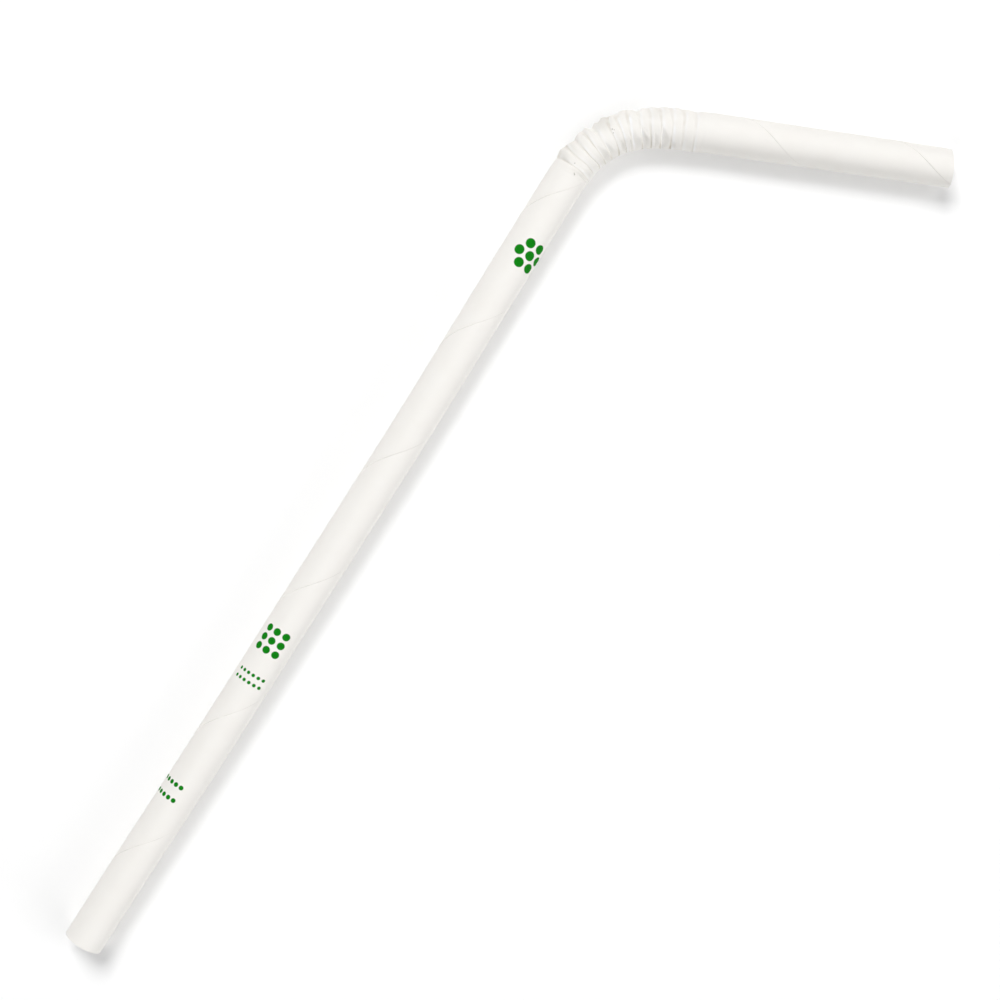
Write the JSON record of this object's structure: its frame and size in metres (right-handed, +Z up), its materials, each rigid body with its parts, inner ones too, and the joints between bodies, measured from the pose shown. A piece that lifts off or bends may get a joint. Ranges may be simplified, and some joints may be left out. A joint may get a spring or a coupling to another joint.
{
  "type": "flexible drinking straw",
  "caption": "Bendy paper drinking straw lying on its side: a long straight tube, a folded bend and a short drinking end, open from end to end.",
  "frame": {"origin": "on the surface that the straw lies on, under the middle of its outline seen from above", "axes": "+X along the long leg towards the bend, the bend turns towards -Y, +Z up from the surface"},
  "size_m": [0.1698, 0.0523, 0.006],
  "materials": {
    "paper": "matte white wound paper"
  },
  "bodies": {
    "root": {"paper_straw": "paper"}
  },
  "joints": []
}
